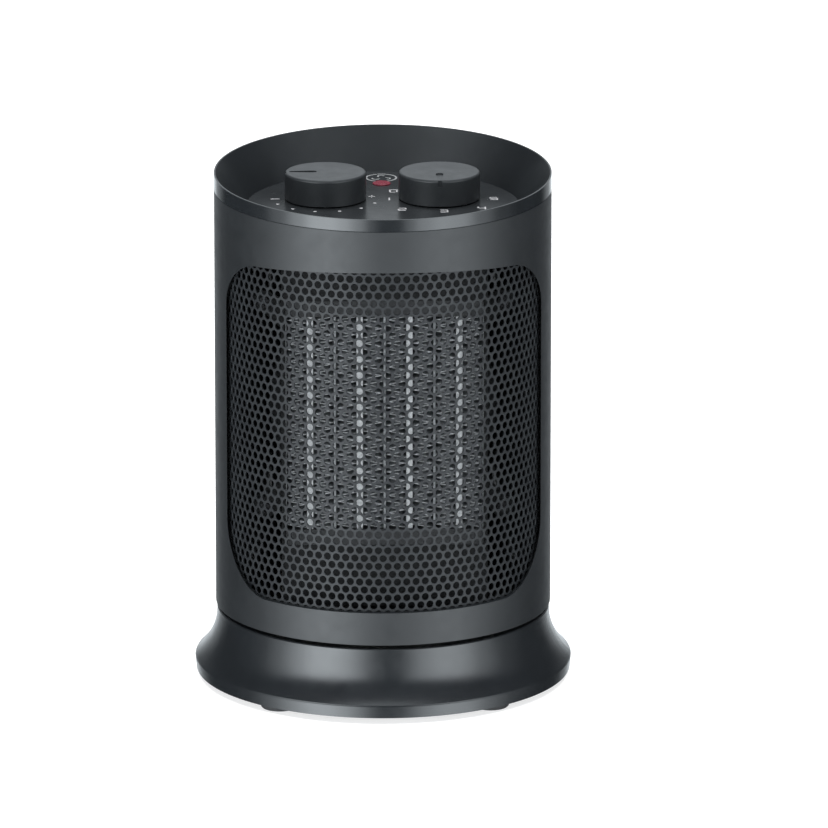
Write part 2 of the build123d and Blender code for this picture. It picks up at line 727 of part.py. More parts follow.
def control_shaft(x, pointer_angle):
    """Knob shaft, with a flat in the knob."""
    shaft = d_shaft(CONTROL_SHAFT, 215.5, 246.5, 238.5, 246.5)
    return Pos(x, KNOB_Y, 0) * turned(pointer_angle, shaft)


def pointer_pocket():
    """Tapered pocket with round ends, wide end towards the middle of the knob."""
    floor = KNOB_TOP - POINTER_DEPTH
    inner = Pos(POINTER_START, 0) * Circle(POINTER_INNER_RADIUS)
    outer = Pos(POINTER_END, 0) * Circle(POINTER_OUTER_RADIUS)
    outline = make_hull(inner.edges() + outer.edges())
    return Pos(0, 0, floor) * extrude(outline, 2)


def knob(x, pointer_angle):
    """Hollow round knob with a recessed pointer and a notch in its shoulder."""
    body = post(KNOB_RADIUS, KNOB_BOTTOM, KNOB_TOP)
    body = fillet(body.edges().group_by(Axis.Z)[-1], 1.2)
    body -= tube(KNOB_RADIUS - 2.0, 5.5, KNOB_BOTTOM, KNOB_TOP - 2.6)
    body -= d_shaft(CONTROL_SHAFT, KNOB_BOTTOM, 246.5, 238.5, 246.5)
    notch = block((KNOB_RADIUS - 0.7, -1.0, KNOB_TOP - 3.2), (KNOB_RADIUS + 1, 1.0, KNOB_TOP))
    return Pos(x, KNOB_Y, 0) * turned(pointer_angle, body - pointer_pocket() - notch)


def indicator_lens():
    """Domed lens pushed into the panel from above."""
    lens = post(LENS_RADIUS, 231.5, PANEL_TOP + 0.7, 0, LENS_Y)
    return fillet(lens.edges().group_by(Axis.Z)[-1], 0.6)


def indicator_lamp():
    """Small lamp under the lens, with two leads."""
    lamp = post(2.8, 222.0, 231.4, 0, LENS_Y)
    for x in (-1.2, 1.2):
        lamp += post(0.4, 215.0, 222.0, x, LENS_Y)
    return lamp


# Heating core

def core_columns():
    """Centre and half width of each upright piece across the core: bars, then plates."""
    bars = [(step * BAR_PITCH, BAR_WIDTH / 2) for step in (-1.5, -0.5, 0.5, 1.5)]
    plates = [(step * BAR_PITCH, PLATE_WIDTH / 2) for step in (-1, 0, 1)]
    edge = CORE_HALF - SIDE_PLATE_WIDTH / 2
    plates += [(-edge, SIDE_PLATE_WIDTH / 2), (edge, SIDE_PLATE_WIDTH / 2)]
    return bars, plates


def upright(x, half_width):
    """One upright piece over the full height and depth of the core."""
    return block((x - half_width, CORE_FRONT, CORE_LOW), (x + half_width, CORE_BACK, CORE_HIGH))


def ptc_bars():
    """Four flat aluminium tubes that hold the ceramic heating stones."""
    bars, _ = core_columns()
    return group(upright(x, half) for x, half in bars)


def fin_plates():
    """Three middle plates and two side plates between the fins."""
    _, plates = core_columns()
    return group(upright(x, half) for x, half in plates)


def fin_strip(left, right):
    """One strip folded in a zigzag between two upright pieces."""
    step = (CORE_HEIGHT - 1.0) / FIN_FOLDS
    across = FIN_SHEET * (right - left) / step
    near = [
        (left if fold % 2 else right - across, CORE_LOW + 0.5 + fold * step)
        for fold in range(FIN_FOLDS + 1)
    ]
    far = [(x + across, z) for x, z in reversed(near)]
    face = make_face(Polyline(near + far, close=True))
    return Pos(0, CORE_BACK - 0.2, 0) * extrude(Plane.XZ * face, CORE_BACK - CORE_FRONT - 0.4)


def fin_strips():
    """Eight folded strips that fill the core between the bars and the plates."""
    bars, plates = core_columns()
    columns = sorted(bars + plates)
    return group(
        fin_strip(left[0] + left[1] + 0.05, right[0] - right[1] - 0.05)
        for left, right in zip(columns, columns[1:])
    )


def ptc_end_caps():
    """Moulded holders over the core's two ends."""
    low = (-CORE_HALF, CORE_FRONT - 1.5)
    high = (CORE_HALF, CORE_BACK + 1.5)
    lower = block((*low, CORE_LOW - CAP_DEPTH), (*high, CORE_LOW))
    upper = block((*low, CORE_HIGH), (*high, CORE_HIGH + CAP_DEPTH))
    return group([lower, upper])


def ptc_terminals():
    """Three blade terminals on the upper end cap."""
    top = CORE_HIGH + CAP_DEPTH
    return group(block((x - 3.1, -48.9, top), (x + 3.1, -48.1, top + 10)) for x in (-12, 0, 12))


def duct_section(y, half_x, half_z):
    """Rectangle across the duct at a depth."""
    return Plane((0, y, FAN_HEIGHT), x_dir=(1, 0, 0), z_dir=(0, -1, 0)) * Rectangle(2 * half_x, 2 * half_z)


def duct_round(y, radius):
    """Circle across the duct at a depth."""
    return Plane((0, y, FAN_HEIGHT), x_dir=(1, 0, 0), z_dir=(0, -1, 0)) * Circle(radius)


def duct_ears(front, back):
    """Four ears with screw holes on arms from the ring."""
    ears = Part()
    for x in (-EAR_X, EAR_X):
        for z in (-EAR_Z, EAR_Z):
            centre = FAN_HEIGHT + z
            arm = Pos(x * 0.85, (front + back) / 2, FAN_HEIGHT + z * 0.85) * Rot(
                0, -45 if x * z > 0 else 45, 0
            ) * Box(24, back - front, 9)
            ears += arm + rod(5.5, front, back, x, centre)
            ears -= rod(1.7, front, back, x, centre)
    return ears


def heater_duct():
    """Duct from the round fan shroud to the core, with a front plate that closes off the rest."""
    cap_half = CORE_HEIGHT / 2 + CAP_DEPTH
    half = cap_half + DUCT_WALL
    core_x = CORE_HALF + 0.3
    plate_back = DUCT_FRONT_Y + DUCT_WALL
    round_end = duct_round(DUCT_BACK_Y, SHROUD_OUTER + 1)
    duct = loft([round_end, duct_section(DUCT_SQUARE_Y, 50.0, half)])
    duct += block((-50.0, DUCT_FRONT_Y, FAN_HEIGHT - half), (50.0, DUCT_SQUARE_Y, FAN_HEIGHT + half))
    duct += duct_ears(DUCT_BACK_Y - 2.5, DUCT_BACK_Y)
    duct += block((-BAFFLE_HALF, DUCT_FRONT_Y, BAFFLE_LOW), (BAFFLE_HALF, plate_back, BAFFLE_HIGH))
    round_end = duct_round(DUCT_BACK_Y, SHROUD_INNER + 1)
    duct -= loft([round_end, duct_section(DUCT_SQUARE_Y, core_x, cap_half)])
    low = (-core_x, DUCT_FRONT_Y, FAN_HEIGHT - cap_half)
    duct -= block(low, (core_x, DUCT_SQUARE_Y, FAN_HEIGHT + cap_half))
    return duct - block((-20, -52, 200), (20, -45, 210))


def duct_screws():
    return group(
        Pos(x, DUCT_BACK_Y - 2.5, FAN_HEIGHT + z) * REARWARD * pan_screw(18.0)
        for x in (-EAR_X, EAR_X)
        for z in (-EAR_Z, EAR_Z)
    )


def thermal_cutout():
    """Self-resetting disc cut-out on the duct."""
    top = FAN_HEIGHT + (CORE_HIGH - CORE_LOW) / 2 + CAP_DEPTH + DUCT_WALL
    body = block((24, -52, top), (48, -43, top + 1)) + post(7.0, top + 1, top + 8, 36, -47.5)
    return body + block((32, -47.9, top + 8), (40, -47.1, top + 13))


def thermal_fuse():
    """One-shot fuse on the duct, under a saddle."""
    top = FAN_HEIGHT + (CORE_HIGH - CORE_LOW) / 2 + CAP_DEPTH + DUCT_WALL
    body = Pos(-46, -47.5, top + 2.5) * Rot(0, 90, 0) * Cylinder(2.0, 20, align=BOTTOM_UP)
    return body + block((-40, -50, top), (-32, -45, top + 2.5))


# Fan and motor

def fan_shroud():
    """Ring around the fan with a spider that carries the motor."""
    ring = rod(SHROUD_OUTER, SHROUD_FRONT, 5.0, 0, FAN_HEIGHT)
    ring -= rod(SHROUD_INNER, SHROUD_FRONT, 5.0, 0, FAN_HEIGHT)
    spider = rod(26.0, 2.5, 5.0, 0, FAN_HEIGHT)
    for angle in (45, 135):
        spoke = Pos(0, 3.75, FAN_HEIGHT) * Rot(0, angle, 0) * Box(2 * SHROUD_OUTER - 3, 2.5, 6)
        spider += spoke
    spider -= rod(10.0, 2.5, 5.0, 0, FAN_HEIGHT)
    for x in (-MOTOR_SCREW_X, MOTOR_SCREW_X):
        spider -= rod(1.6, 2.5, 5.0, x, FAN_HEIGHT)
    ring += spider + duct_ears(SHROUD_FRONT, -15.0)
    return ring - rod(SHROUD_INNER, SHROUD_FRONT, 0, 0, FAN_HEIGHT)


def fan_blade():
    """Seven-bladed axial fan."""
    hub = rod(18.0, FAN_FRONT, FAN_BACK)
    hub -= rod(15.5, FAN_FRONT + 2, FAN_BACK) - rod(5.0, FAN_FRONT + 2, FAN_BACK)
    middle = (FAN_FRONT + FAN_BACK) / 2
    depth = FAN_BACK - FAN_FRONT
    limit = rod(FAN_RADIUS, FAN_FRONT + 0.5, FAN_BACK - 0.5)
    inner = rod(16.5, FAN_FRONT, FAN_BACK)
    for step in range(7):
        blade = Rot(0, step * 360 / 7, 0) * Pos(33, middle, 0) * Rot(34, 0, 0) * Box(40, 1.6, 1.9 * depth)
        hub += (blade & limit) - inner
    return Pos(0, 0, FAN_HEIGHT) * (hub - rod(MOTOR_SHAFT, FAN_FRONT, FAN_BACK))


def motor_shaft():
    return rod(MOTOR_SHAFT, FAN_FRONT + 1, 34.0, 0, FAN_HEIGHT)


def motor_rotor():
    """Squirrel-cage rotor on the shaft."""
    front = STATOR_FRONT + 0.8
    back = STATOR_BACK - 0.8
    return rod(ROTOR_RADIUS, front, back, 0, FAN_HEIGHT) - rod(MOTOR_SHAFT, front, back, 0, FAN_HEIGHT)


def motor_stator():
    """Laminated frame with the rotor bore above and the coil's leg below."""
    frame = block((-24, STATOR_FRONT, 96), (24, STATOR_BACK, 164))
    frame -= block((-14, STATOR_FRONT, 106), (14, STATOR_BACK, 121))
    frame -= rod(ROTOR_RADIUS + 0.4, STATOR_FRONT, STATOR_BACK, 0, FAN_HEIGHT)
    for x in (-MOTOR_SCREW_X, MOTOR_SCREW_X):
        frame -= rod(1.6, STATOR_FRONT, STATOR_BACK, x, FAN_HEIGHT)
    return frame


def motor_coil():
    """Wound bobbin around the stator's lower leg."""
    bobbin = block((-13.6, STATOR_FRONT - 3.8, 91), (13.6, STATOR_BACK + 3.8, 111))
    return bobbin - block((-13.6, STATOR_FRONT - 0.1, 95.9), (13.6, STATOR_BACK + 0.1, 106.1))


def motor_bracket(face, outward):
    """Bearing bridge across one face of the stator; outward is -1 for the front, 1 for the rear."""
    arm_end = face + 4 * outward
    boss_end = face + 6.5 * outward
    arm = block((-24, min(face, arm_end), FAN_HEIGHT - 6), (24, max(face, arm_end), FAN_HEIGHT + 6))
    boss = rod(7.0, min(face, boss_end), max(face, boss_end), 0, FAN_HEIGHT)
    bracket = arm + boss - rod(4.5, min(face, boss_end), max(face, boss_end), 0, FAN_HEIGHT)
    for x in (-MOTOR_SCREW_X, MOTOR_SCREW_X):
        bracket -= rod(1.6, min(face, arm_end), max(face, arm_end), x, FAN_HEIGHT)
    return bracket


def motor_front_bracket():
    return motor_bracket(STATOR_FRONT, -1)


def motor_rear_bracket():
    return motor_bracket(STATOR_BACK, 1)


def motor_bearings():
    """Two sintered bushes for the motor's shaft."""
    bush = tube(4.5, MOTOR_SHAFT + RUNNING_GAP, 0, 5.5)
    front = Pos(0, STATOR_FRONT - 6.5, FAN_HEIGHT) * Rot(-90, 0, 0) * bush
    rear = Pos(0, STATOR_BACK + 1, FAN_HEIGHT) * Rot(-90, 0, 0) * bush
    return group([front, rear])


def motor_screws():
    """Two long screws through the spider, both brackets and the stator."""
    return group(
        Pos(x, 2.5, FAN_HEIGHT) * REARWARD * (pan_screw(32.0) & block((-5, -5, -40), (5, 5, 1.2)))
        for x in (-MOTOR_SCREW_X, MOTOR_SCREW_X)
    )


def terminal_block():
    """Three-way terminal block on the turntable, with a screw above each way."""
    strip = block((-50, -20, TURNTABLE_TOP), (-38, 16, TURNTABLE_TOP + 14))
    for step in range(3):
        y = -14 + 12 * step
        strip -= post(2.5, TURNTABLE_TOP + 9, TURNTABLE_TOP + 14, -44, y)
        wire_hole = Pos(-50, y, TURNTABLE_TOP + 5) * Rot(0, 90, 0) * Cylinder(2.2, 12, align=BOTTOM_UP)
        strip -= wire_hole
    return strip


PIECES = {
    "base_skirt": base_skirt,
    "base_plate": base_plate,
    "base_plate_screws": base_plate_screws,
    "rubber_feet": rubber_feet,
    "cord_gland": cord_gland,
    "cord_clamp": cord_clamp,
    "cord_clamp_screws": cord_clamp_screws,
    "slide_ring": slide_ring,
    "fixed_gear": fixed_gear,
    "fixed_gear_screws": fixed_gear_screws,
    "tip_plunger": tip_plunger,
    "tip_spring": tip_spring,
    "tip_switch_holder": tip_switch_holder,
    "tip_switch": tip_switch,
    "tip_switch_screws": tip_switch_screws,
    "turntable": turntable,
    "turntable_screws": turntable_screws,
    "pivot_bush": pivot_bush,
    "swing_motor": swing_motor,
    "swing_motor_screws": swing_motor_screws,
    "swing_motor_shaft": swing_motor_shaft,
    "drive_pinion": drive_pinion,
    "front_shell": front_shell,
    "rear_shell": rear_shell,
    "shell_screws": shell_screws,
    "rear_grille": rear_grille,
    "front_grille": front_grille,
    "grille_frame": grille_frame,
    "top_bezel": top_bezel,
    "bezel_screws": bezel_screws,
    "control_panel": control_panel,
    "control_screws": control_screws,
    "thermostat": thermostat,
    "mode_switch": mode_switch,
    "thermostat_shaft": lambda: control_shaft(-KNOB_X, THERMOSTAT_POINTER),
    "mode_shaft": lambda: control_shaft(KNOB_X, MODE_POINTER),
    "thermostat_knob": lambda: knob(-KNOB_X, THERMOSTAT_POINTER),
    "mode_knob": lambda: knob(KNOB_X, MODE_POINTER),
    "indicator_lens": indicator_lens,
    "indicator_lamp": indicator_lamp,
    "ptc_bars": ptc_bars,
    "fin_plates": fin_plates,
    "fin_strips": fin_strips,
    "ptc_end_caps": ptc_end_caps,
    "ptc_terminals": ptc_terminals,
    "heater_duct": heater_duct,
    "duct_screws": duct_screws,
    "thermal_cutout": thermal_cutout,
    "thermal_fuse": thermal_fuse,
    "fan_shroud": fan_shroud,
    "fan_blade": fan_blade,
    "motor_shaft": motor_shaft,
    "motor_rotor": motor_rotor,
    "motor_stator": motor_stator,
    "motor_coil": motor_coil,
    "motor_front_bracket": motor_front_bracket,
    "motor_rear_bracket": motor_rear_bracket,
    "motor_bearings": motor_bearings,
    "motor_screws": motor_screws,
    "terminal_block": terminal_block,
}

os.makedirs("parts", exist_ok=True)
for name, make in PIECES.items():
    export_step(make(), f"parts/{name}.step")
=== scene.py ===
import math

import bpy
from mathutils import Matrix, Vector


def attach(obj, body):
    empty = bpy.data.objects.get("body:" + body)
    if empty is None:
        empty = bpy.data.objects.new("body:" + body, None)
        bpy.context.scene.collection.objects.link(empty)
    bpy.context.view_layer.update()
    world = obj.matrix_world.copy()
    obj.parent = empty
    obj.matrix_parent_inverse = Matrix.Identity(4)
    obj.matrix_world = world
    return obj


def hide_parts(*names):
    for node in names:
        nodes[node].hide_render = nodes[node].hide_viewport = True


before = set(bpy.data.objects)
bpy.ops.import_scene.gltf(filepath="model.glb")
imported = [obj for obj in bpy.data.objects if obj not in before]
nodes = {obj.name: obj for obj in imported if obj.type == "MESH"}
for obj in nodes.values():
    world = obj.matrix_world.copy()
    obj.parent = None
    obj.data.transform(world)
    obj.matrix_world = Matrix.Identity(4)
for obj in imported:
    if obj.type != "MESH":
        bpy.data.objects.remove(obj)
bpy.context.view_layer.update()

MM = 0.001


# Camera

AIM = Vector((0.0152, 0.0, 0.1307))
CAMERA_AZIMUTH = math.radians(-1.0)
CAMERA_ELEVATION = math.radians(15.5)
CAMERA_DISTANCE = 5.0

camera_data = bpy.data.cameras.new("camera")
camera = bpy.data.objects.new("camera", camera_data)
bpy.context.scene.collection.objects.link(camera)
away = Vector((
    math.sin(CAMERA_AZIMUTH) * math.cos(CAMERA_ELEVATION),
    -math.cos(CAMERA_AZIMUTH) * math.cos(CAMERA_ELEVATION),
    math.sin(CAMERA_ELEVATION),
))
camera.location = AIM + away * CAMERA_DISTANCE
camera.rotation_mode = "QUATERNION"
camera.rotation_quaternion = (-away).to_track_quat("-Z", "Y")
camera_data.sensor_width = 36
camera_data.lens = 443.6
camera_data.clip_start = 0.1
camera_data.clip_end = 100
bpy.context.scene.camera = camera


# Material building

# A wave texture at scale 1 turns by this many radians per metre
WAVE_RATE = 20


class Shader:
    """A node material with its Principled shader, and short calls that add and join nodes."""

    def __init__(self, name, colour, roughness, **sockets):
        self.material = bpy.data.materials.new(name)
        self.material.use_nodes = True
        self.tree = self.material.node_tree
        self.bsdf = self.tree.nodes["Principled BSDF"]
        self.bsdf.inputs["Base Color"].default_value = (*colour, 1)
        self.bsdf.inputs["Roughness"].default_value = roughness
        for socket, value in sockets.items():
            self.bsdf.inputs[socket.replace("_", " ")].default_value = value
        self.place = self.node("ShaderNodeTexCoord").outputs["Object"]
        self.normal = None

    def node(self, kind, **values):
        made = self.tree.nodes.new(kind)
        for key, value in values.items():
            if hasattr(made, key):
                setattr(made, key, value)
            else:
                made.inputs[key.replace("_", " ")].default_value = value
        return made

    def link(self, source, target):
        self.tree.links.new(source, target)

    def stretched(self, scale):
        """Object coordinates stretched by a different factor along each axis."""
        mapping = self.node("ShaderNodeMapping")
        mapping.inputs["Scale"].default_value = scale
        self.link(self.place, mapping.inputs["Vector"])
        return mapping.outputs["Vector"]

    def noise(self, size, detail=3.0, place=None, roughness=0.5):
        """Noise whose blobs are about size millimetres across."""
        made = self.node("ShaderNodeTexNoise", Scale=1 / (size * MM), Detail=detail, Roughness=roughness)
        self.link(place or self.place, made.inputs["Vector"])
        return made.outputs["Fac"]

    def bands(self, direction, pitch, distortion):
        """Parallel bands, pitch millimetres apart."""
        scale = 2 * math.pi / WAVE_RATE / (pitch * MM)
        made = self.node("ShaderNodeTexWave", bands_direction=direction, Scale=scale)
        made.inputs["Distortion"].default_value = distortion
        self.link(self.place, made.inputs["Vector"])
        return made.outputs["Fac"]

    def spread(self, source, low, high, start=0.3, end=0.7):
        """Maps a factor from start..end to low..high."""
        made = self.node("ShaderNodeMapRange")
        made.inputs["From Min"].default_value = start
        made.inputs["From Max"].default_value = end
        made.inputs["To Min"].default_value = low
        made.inputs["To Max"].default_value = high
        self.link(source, made.inputs["Value"])
        return made.outputs["Result"]

    def tint(self, source, dark, light, start=0.3, end=0.7):
        """Colours the surface between dark and light by a factor."""
        ramp = self.node("ShaderNodeValToRGB")
        ramp.color_ramp.elements[0].position = start
        ramp.color_ramp.elements[0].color = (*dark, 1)
        ramp.color_ramp.elements[1].position = end
        ramp.color_ramp.elements[1].color = (*light, 1)
        self.link(source, ramp.inputs["Fac"])
        self.link(ramp.outputs["Color"], self.bsdf.inputs["Base Color"])

    def rough(self, source, low, high):
        self.link(self.spread(source, low, high), self.bsdf.inputs["Roughness"])

    def bump(self, source, height, strength=1.0):
        """Adds a bump of the given height in millimetres."""
        made = self.node("ShaderNodeBump", Strength=strength, Distance=height * MM)
        self.link(source, made.inputs["Height"])
        if self.normal is not None:
            self.link(self.normal, made.inputs["Normal"])
        self.normal = made.outputs["Normal"]
        self.link(self.normal, self.bsdf.inputs["Normal"])


def shade(colour, factor):
    return tuple(value * factor for value in colour)


def moulded(name, colour, roughness, grain=0.5, depth=0.012, variation=0.12, **sockets):
    """Injection-moulded plastic: spark-eroded grain, faint flow mottling and uneven gloss."""
    s = Shader(name, colour, roughness, **sockets)
    mottle = s.noise(22, 4)
    s.tint(mottle, shade(colour, 1 - variation), shade(colour, 1 + variation))
    s.rough(s.noise(6, 3), roughness - 0.035, roughness + 0.035)
    s.bump(s.noise(grain, 2), depth)
    return s.material


SHELL_COLOUR = (0.0092, 0.0106, 0.0121)
GLOSS = 1.0
# The rim is polished beyond this distance from the tower's axis, in millimetres
BAND_RADIUS = 81.9


def bezel_plastic():
    """Polished round the outside of the rim and satin inside the dish."""
    s = Shader("bezel_plastic", SHELL_COLOUR, 0.14, Specular_IOR_Level=GLOSS)
    s.tint(s.noise(22, 4), shade(SHELL_COLOUR, 0.88), shade(SHELL_COLOUR, 1.12))
    across = s.node("ShaderNodeVectorMath", operation="MULTIPLY")
    across.inputs[1].default_value = (1, 1, 0)
    s.link(s.place, across.inputs[0])
    radius = s.node("ShaderNodeVectorMath", operation="LENGTH")
    s.link(across.outputs["Vector"], radius.inputs[0])
    finish = s.spread(radius.outputs["Value"], 0.34, 0.13, (BAND_RADIUS - 0.3) * MM, BAND_RADIUS * MM)
    uneven = s.node("ShaderNodeMath", operation="ADD")
    s.link(finish, uneven.inputs[0])
    s.link(s.spread(s.noise(6, 3), -0.02, 0.02), uneven.inputs[1])
    s.link(uneven.outputs[0], s.bsdf.inputs["Roughness"])
    s.bump(s.noise(0.5, 2), 0.004)
    return s.material


def sheet_metal(name, colour, roughness, direction=(1, 1, 12), **sockets):
    """Rolled metal: fine streaks along the rolling direction, with a dull and uneven shine."""
    s = Shader(name, colour, roughness, Metallic=1.0, **sockets)
    streak = s.noise(2.2, 4, s.stretched(direction))
    s.tint(streak, shade(colour, 0.78), shade(colour, 1.12))
    s.rough(s.noise(3, 3), roughness - 0.07, roughness + 0.09)
    s.bump(streak, 0.01)
    return s.material


def satin_black_metal():
    """Powder coat on perforated steel: fine orange peel over a dark satin finish."""
    s = Shader("grille_metal", (0.018, 0.020, 0.023), 0.48, Specular_IOR_Level=0.42)
    s.tint(s.noise(9, 3), (0.010, 0.011, 0.013), (0.016, 0.018, 0.020))
    s.rough(s.noise(1.5, 3), 0.42, 0.56)
    s.bump(s.noise(0.35, 2), 0.012)
    return s.material


def turned_steel():
    s = Shader("steel", (0.50, 0.50, 0.49), 0.30, Metallic=1.0)
    s.tint(s.noise(1.4, 3), (0.40, 0.40, 0.39), (0.58, 0.58, 0.56))
    s.rough(s.noise(0.6, 3), 0.22, 0.40)
    s.bump(s.noise(0.25, 2), 0.008)
    return s.material


def laminated_steel():
    """Stacked motor sheets, with a line between each pair."""
    s = Shader("lamination", (0.16, 0.16, 0.165), 0.45, Metallic=0.9)
    s.bump(s.bands("Y", 0.3143, 0.0), 0.05)
    s.tint(s.noise(5, 3), (0.12, 0.12, 0.125), (0.21, 0.20, 0.20))
    s.rough(s.noise(2, 3), 0.38, 0.55)
    return s.material


def wound_copper():
    """Enamelled copper wire in side-by-side turns."""
    s = Shader("copper_coil", (0.42, 0.13, 0.05), 0.30, Metallic=0.85, Coat_Weight=0.3)
    s.bump(s.bands("Z", 0.44, 0.4), 0.12)
    s.tint(s.noise(3, 3), (0.34, 0.10, 0.04), (0.52, 0.18, 0.07))
    s.rough(s.noise(1, 2), 0.24, 0.38)
    return s.material


def red_lens():
    """Clear red moulding with fine diffusing ribs underneath."""
    s = Shader("lens_red", (0.16, 0.025, 0.040), 0.22, Transmission_Weight=0.25, IOR=1.49)
    s.tint(s.noise(1.5, 2), (0.13, 0.020, 0.032), (0.19, 0.032, 0.050))
    s.rough(s.noise(0.8, 2), 0.17, 0.28)
    s.bump(s.noise(0.5, 1), 0.010)
    return s.material


def lamp_glass():
    s = Shader("lamp_glass", (0.9, 0.85, 0.8), 0.08, Transmission_Weight=0.8, IOR=1.47)
    s.tint(s.noise(2, 2), (0.86, 0.78, 0.70), (0.95, 0.93, 0.90))
    s.rough(s.noise(1, 2), 0.05, 0.14)
    return s.material


def soft_rubber():
    s = Shader("rubber", (0.022, 0.022, 0.023), 0.72)
    s.tint(s.noise(4, 4), (0.018, 0.018, 0.019), (0.032, 0.032, 0.033))
    s.rough(s.noise(1.2, 3), 0.62, 0.82)
    s.bump(s.noise(0.4, 3), 0.03)
    return s.material


def ceramic_phenolic():
    s = Shader("phenolic", (0.42, 0.38, 0.31), 0.5)
    s.tint(s.noise(3, 4), (0.34, 0.30, 0.24), (0.50, 0.46, 0.38))
    s.rough(s.noise(1, 3), 0.42, 0.60)
    s.bump(s.noise(0.5, 3), 0.02)
    return s.material


def white_print(name, colour):
    """Pad-printed ink: slightly uneven cover and a matt surface."""
    s = Shader(name, colour, 0.55)
    s.tint(s.noise(0.7, 3), shade(colour, 0.86), shade(colour, 1.04))
    s.rough(s.noise(0.5, 2), 0.48, 0.62)
    s.bump(s.noise(0.2, 2), 0.004)
    return s.material


def dull_aluminium(name, dark, light):
    """Folded or pressed aluminium, dulled by its bonding cement."""
    s = Shader(name, light, 0.55, Metallic=0.5)
    s.tint(s.noise(1.1, 3), dark, light)
    s.rough(s.noise(0.8, 3), 0.45, 0.66)
    s.bump(s.noise(0.4, 2), 0.01)
    return s.material


def black_oxide():
    s = Shader("black_oxide", (0.035, 0.035, 0.037), 0.45, Metallic=0.6)
    s.tint(s.noise(1.4, 3), (0.028, 0.028, 0.030), (0.045, 0.045, 0.048))
    s.rough(s.noise(0.6, 3), 0.36, 0.54)
    s.bump(s.noise(0.25, 2), 0.008)
    return s.material


MATERIALS = {
    "shell_plastic": moulded("shell_plastic", SHELL_COLOUR, 0.46, Specular_IOR_Level=0.72),
    "base_plastic": moulded("base_plastic", SHELL_COLOUR, 0.22, Specular_IOR_Level=GLOSS),
    "bezel_plastic": bezel_plastic(),
    "panel_plastic": moulded(
        "panel_plastic", (0.014, 0.0155, 0.017), 0.24, grain=0.4, depth=0.006, Specular_IOR_Level=0.38,
    ),
    "knob_plastic": moulded("knob_plastic", (0.020, 0.022, 0.024), 0.34, grain=0.4, depth=0.008),
    "inner_plastic": moulded("inner_plastic", (0.026, 0.027, 0.029), 0.6, grain=0.8, depth=0.02),
    "acetal": moulded("acetal", (0.62, 0.61, 0.57), 0.38, grain=0.8, variation=0.05),
    "grille_metal": satin_black_metal(),
    "aluminium": sheet_metal("aluminium", (0.60, 0.61, 0.62), 0.36),
    "steel": turned_steel(),
    "brass": sheet_metal("brass", (0.60, 0.42, 0.16), 0.30),
    "lamination": laminated_steel(),
    "copper_coil": wound_copper(),
    "lens_red": red_lens(),
    "lamp_glass": lamp_glass(),
    "rubber": soft_rubber(),
    "phenolic": ceramic_phenolic(),
}

# Nodes whose finish differs from the rest of their slot
NODE_MATERIALS = {
    "fin_strips": dull_aluminium("fins", (0.28, 0.29, 0.30), (0.52, 0.53, 0.55)),
    "ptc_bars": dull_aluminium("heater_bars", (0.46, 0.47, 0.48), (0.68, 0.69, 0.70)),
    "duct_screws": black_oxide(),
    "heater_duct": moulded(
        "duct_plastic", (0.007, 0.0075, 0.008), 0.62, grain=0.8, depth=0.02, Specular_IOR_Level=0.3,
    ),
}

for name, node in nodes.items():
    for slot in node.material_slots:
        slot.material = NODE_MATERIALS.get(name, MATERIALS[slot.material.name.split(".")[0]])


# Perforated grille

GRILLE_RADIUS = 79.9
GRILLE_SHEET = 0.8
GRILLE_REAR_Y = -12.0
GRILLE_TOP = 225.9
GRILLE_BOTTOM = 49.9
SIDE_BORDER = 2.0
HOLE_PITCH = 4.6
ROW_PITCH = HOLE_PITCH * math.sqrt(3) / 2
HOLE_RADIUS = 1.76
HOLE_SIDES = 16
EDGE_BREAK = 0.14
ROW_PHASE = 215.68
ARC_PHASE = -1.1
TOP_ROW = 2
SPLIT_ROW = -20
BOTTOM_ROW = -41
SPLIT_HEIGHT = ROW_PHASE + (SPLIT_ROW - 0.5) * ROW_PITCH
SHARP_ANGLE = 28
TINY = 0.001


class SheetMesh:
    """Welded quads and fans on a curved sheet, addressed by arc length, height and depth."""

    def __init__(self):
        self.points = []
        self.index = {}
        self.faces = []

    def at(self, arc, height, depth):
        key = (round(arc, 4), round(height, 4), round(depth, 4))
        if key not in self.index:
            self.index[key] = len(self.points)
            radius = GRILLE_RADIUS - depth
            angle = arc / GRILLE_RADIUS
            self.points.append((
                radius * math.sin(angle) * MM,
                -radius * math.cos(angle) * MM,
                height * MM,
            ))
        return self.index[key]

    def outer(self, corners):
        self.faces.append([self.at(arc, height, 0.0) for arc, height in corners])

    def inner(self, corners):
        self.faces.append([self.at(arc, height, GRILLE_SHEET) for arc, height in reversed(corners)])

    def rim(self, a, b):
        """Closes the sheet's edge from outline point a to b, walked anticlockwise."""
        self.faces.append([
            self.at(*a, 0.0), self.at(*a, GRILLE_SHEET), self.at(*b, GRILLE_SHEET), self.at(*b, 0.0),
        ])


def ring_points(arc, height, radius):
    step = 2 * math.pi / HOLE_SIDES
    return [
        (arc + radius * math.cos(k * step), height + radius * math.sin(k * step))
        for k in range(HOLE_SIDES)
    ]


